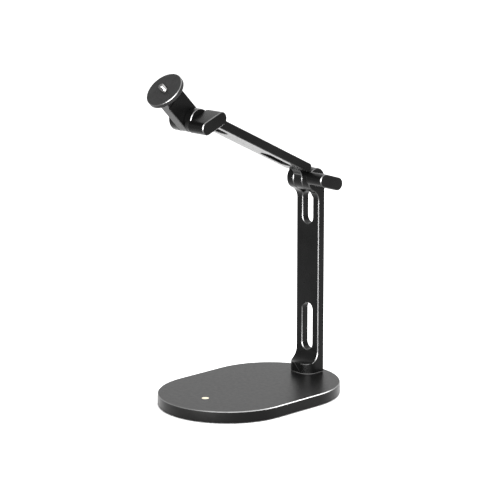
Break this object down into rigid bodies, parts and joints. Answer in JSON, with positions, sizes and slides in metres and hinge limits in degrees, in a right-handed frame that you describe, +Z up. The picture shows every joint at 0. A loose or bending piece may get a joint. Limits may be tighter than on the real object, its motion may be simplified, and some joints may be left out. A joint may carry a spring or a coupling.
{
  "type": "document camera stand",
  "caption": "Folding desk stand for a document camera: weighted stadium base, slotted upright and arm on clamp-knob hinges, tilting neck, round platform with camera screw.",
  "frame": {"origin": "centre of the base's footprint, on the desk surface", "axes": "+Z up, -Y the way the arm reaches, +X the side with the clamp knobs"},
  "size_m": [0.155, 0.2504, 0.3713],
  "materials": {
    "black_metal": "fine satin black anodising",
    "base_coating": "smooth dark grey coating with a soft gloss",
    "platform_metal": "dark grey anodising, turned rim",
    "zinc_steel": "zinc-plated, dull",
    "black_steel": "black oxide",
    "bright_steel": "bright nickel plate",
    "black_rubber": "matte",
    "nylon": "natural nylon",
    "brass": "turned",
    "gold_badge": "pale gold, plain"
  },
  "bodies": {
    "base": {"base_shell": "base_coating", "base_weight": "zinc_steel", "base_foot_pad": "black_rubber", "weight_screw_front_left": "zinc_steel", "weight_screw_front_right": "zinc_steel", "weight_screw_rear_left": "zinc_steel", "weight_screw_rear_right": "zinc_steel", "round_badge": "gold_badge", "column_gasket": "black_rubber", "column": "black_metal", "column_bolt_left": "black_steel", "column_bolt_right": "black_steel", "elbow_bolt": "black_steel"},
    "arm_link": {"arm": "black_metal", "elbow_washer_left": "nylon", "elbow_washer_right": "nylon", "head_bolt": "black_steel"},
    "elbow_clamp": {"elbow_knob": "black_metal", "elbow_knob_insert": "brass", "elbow_knob_washer": "nylon"},
    "neck_link": {"neck": "black_metal", "head_washer_left": "nylon", "head_washer_right": "nylon", "swivel_washer": "nylon", "swivel_grub_screw": "black_steel"},
    "head_clamp": {"head_knob": "black_metal", "head_knob_insert": "brass", "head_knob_washer": "nylon"},
    "platform": {"platform_disc": "platform_metal", "camera_screw": "bright_steel"}
  },
  "joints": [
    {"name": "elbow_hinge", "type": "hinge", "parent": "base", "child": "arm_link", "pos_m": [0, 0.0881, 0.2352], "axis": [-1, 0, 0], "range_deg": [-80, 64.2]},
    {"name": "neck_tilt", "type": "hinge", "parent": "arm_link", "child": "neck_link", "pos_m": [0, -0.09016, 0.32138], "axis": [-1, 0, 0], "range_deg": [-100, 70]},
    {"name": "elbow_knob_turn", "type": "hinge", "parent": "base", "child": "elbow_clamp", "pos_m": [0.027, 0.0881, 0.2352], "axis": [1, 0, 0], "range_deg": [0, 180]},
    {"name": "head_knob_turn", "type": "hinge", "parent": "arm_link", "child": "head_clamp", "pos_m": [0.027, -0.09016, 0.32138], "axis": [1, 0, 0], "range_deg": [0, 180]},
    {"name": "platform_swivel", "type": "hinge", "parent": "neck_link", "child": "platform", "pos_m": [0, -0.12182, 0.35336], "axis": [0, -0.7034, 0.7108], "continuous": true}
  ]
}
